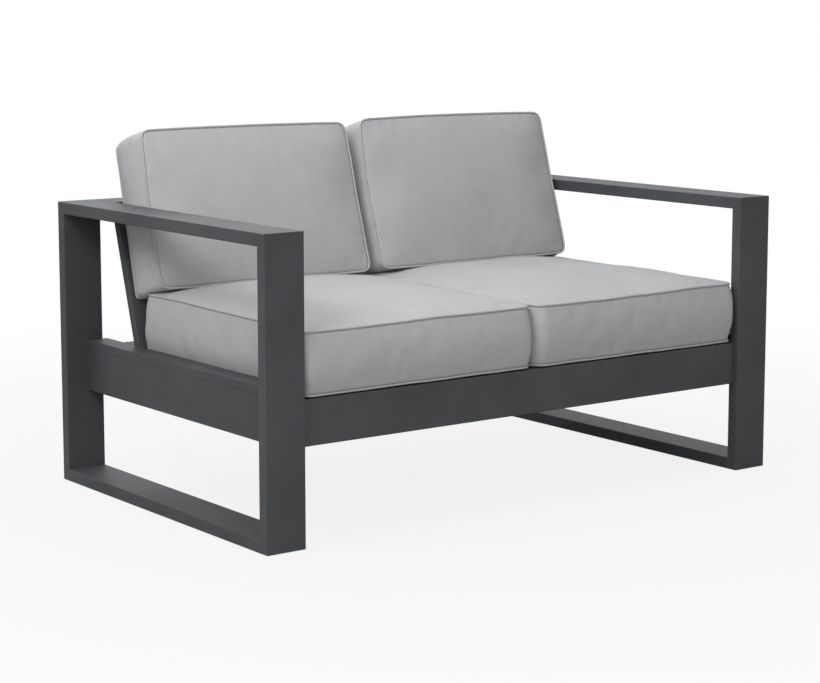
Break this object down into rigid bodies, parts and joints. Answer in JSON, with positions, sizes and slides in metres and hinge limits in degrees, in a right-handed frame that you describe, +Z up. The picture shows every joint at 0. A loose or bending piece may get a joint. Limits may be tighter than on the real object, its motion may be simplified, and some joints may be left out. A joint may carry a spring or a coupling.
{
  "type": "patio loveseat",
  "caption": "Patio loveseat: open box-arm frame of dark powder-coated flat aluminium tube, slatted seat deck, reclined back, and loose boxed cushions with piped seams.",
  "frame": {"origin": "on the floor, under the middle of the frame", "axes": "+X across the seat, towards the sitter's left; +Y to the rear; +Z up"},
  "size_m": [1.346, 0.83, 0.7764],
  "materials": {
    "frame_aluminium": "charcoal powder coat, satin, fine grain",
    "bracket_steel": "charcoal powder coat on 3 mm steel",
    "fastener_steel": "stainless steel, plain",
    "nylon": "black moulded nylon",
    "zip": "grey woven tape with a moulded coil and slider",
    "outdoor_fabric": "light grey melange, plain weave, piped seams",
    "foam": "open-cell polyurethane foam"
  },
  "bodies": {
    "root": {"back_post_1": "frame_aluminium", "back_post_2": "frame_aluminium", "back_post_3": "frame_aluminium", "back_post_4": "frame_aluminium", "back_post_5": "frame_aluminium", "back_post_6": "frame_aluminium", "back_post_7": "frame_aluminium", "back_top_rail": "frame_aluminium", "base_tube_cleats": "bracket_steel", "centre_bearer": "frame_aluminium", "frame_bolts": "fastener_steel", "front_apron": "frame_aluminium", "left_armrest": "frame_aluminium", "left_back_cover": "outdoor_fabric", "left_back_foam": "foam", "left_back_zip_tape": "zip", "left_base_tube": "frame_aluminium", "left_floor_runner": "frame_aluminium", "left_front_corner_bracket": "bracket_steel", "left_front_glide": "nylon", "left_front_leg": "frame_aluminium", "left_rear_corner_bracket": "bracket_steel", "left_rear_glide": "nylon", "left_rear_leg": "frame_aluminium", "left_seat_cover": "outdoor_fabric", "left_seat_foam": "foam", "left_seat_zip_tape": "zip", "left_side_rail": "frame_aluminium", "left_tie_plate": "bracket_steel", "rear_apron": "frame_aluminium", "rear_seat_rail": "frame_aluminium", "right_armrest": "frame_aluminium", "right_back_cover": "outdoor_fabric", "right_back_foam": "foam", "right_back_zip_tape": "zip", "right_base_tube": "frame_aluminium", "right_floor_runner": "frame_aluminium", "right_front_corner_bracket": "bracket_steel", "right_front_glide": "nylon", "right_front_leg": "frame_aluminium", "right_rear_corner_bracket": "bracket_steel", "right_rear_glide": "nylon", "right_rear_leg": "frame_aluminium", "right_seat_cover": "outdoor_fabric", "right_seat_foam": "foam", "right_seat_zip_tape": "zip", "right_side_rail": "frame_aluminium", "right_tie_plate": "bracket_steel", "seat_slat_1": "frame_aluminium", "seat_slat_2": "frame_aluminium", "seat_slat_3": "frame_aluminium", "seat_slat_4": "frame_aluminium", "seat_slat_5": "frame_aluminium", "seat_slat_6": "frame_aluminium", "threaded_inserts": "fastener_steel"},
    "left_seat_zip": {"left_seat_zip_slider": "zip"},
    "left_back_zip": {"left_back_zip_slider": "zip"},
    "right_seat_zip": {"right_seat_zip_slider": "zip"},
    "right_back_zip": {"right_back_zip_slider": "zip"}
  },
  "joints": [
    {"name": "left_seat_zip_slide", "type": "slide", "parent": "root", "child": "left_seat_zip", "axis": [1, 0, 0], "range_m": [0, 0.429]},
    {"name": "left_back_zip_slide", "type": "slide", "parent": "root", "child": "left_back_zip", "axis": [1, 0, 0], "range_m": [0, 0.389]},
    {"name": "right_seat_zip_slide", "type": "slide", "parent": "root", "child": "right_seat_zip", "axis": [-1, 0, 0], "range_m": [0, 0.429]},
    {"name": "right_back_zip_slide", "type": "slide", "parent": "root", "child": "right_back_zip", "axis": [-1, 0, 0], "range_m": [0, 0.389]}
  ]
}
